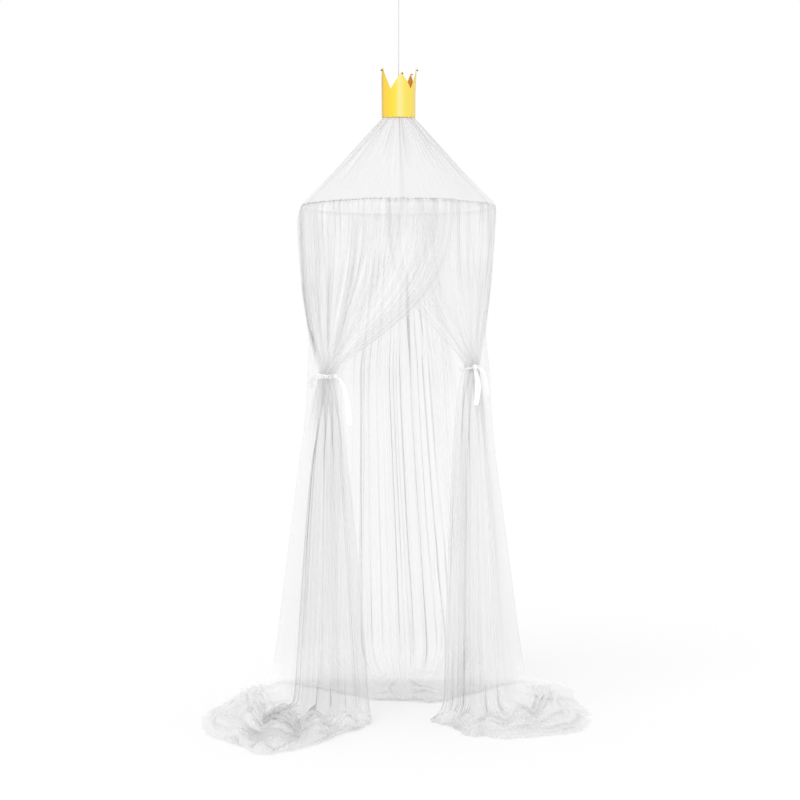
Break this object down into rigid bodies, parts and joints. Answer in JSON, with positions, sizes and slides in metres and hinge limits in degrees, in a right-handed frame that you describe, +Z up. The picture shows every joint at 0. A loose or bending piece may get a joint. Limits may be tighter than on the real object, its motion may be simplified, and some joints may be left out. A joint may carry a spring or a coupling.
{
  "type": "mosquito net canopy and hoop",
  "caption": "Hanging net bed canopy on a round hoop, with a gathered cone roof, a crown, an open front and tied-back curtains that pool on the floor.",
  "frame": {"origin": "top of the cord's loop, where the canopy hangs from the ceiling", "axes": "+Z up, the open front faces -Y, +X to the right as seen from the front"},
  "size_m": [1.1609, 1.007, 2.24],
  "materials": {
    "net": "sheer white net",
    "satin_ribbon": "satin",
    "cord": "smooth twisted cord",
    "hoop_plastic": "matt white",
    "crown_yellow": "stiff satin",
    "bead_metal": "dark polished"
  },
  "bodies": {
    "root": {"hoop": "hoop_plastic", "roof_net": "net", "left_curtain": "net", "right_curtain": "net", "back_net": "net", "left_tie": "satin_ribbon", "right_tie": "satin_ribbon", "crown": "crown_yellow", "crown_bead_1": "bead_metal", "crown_bead_2": "bead_metal", "crown_bead_3": "bead_metal", "crown_bead_4": "bead_metal", "crown_bead_5": "bead_metal", "crown_knot": "cord", "hoop_string_1": "cord", "hoop_string_2": "cord", "hoop_string_3": "cord", "hoop_string_4": "cord", "hanging_cord": "cord", "loop_knot": "cord", "cord_loop": "cord"}
  },
  "joints": []
}
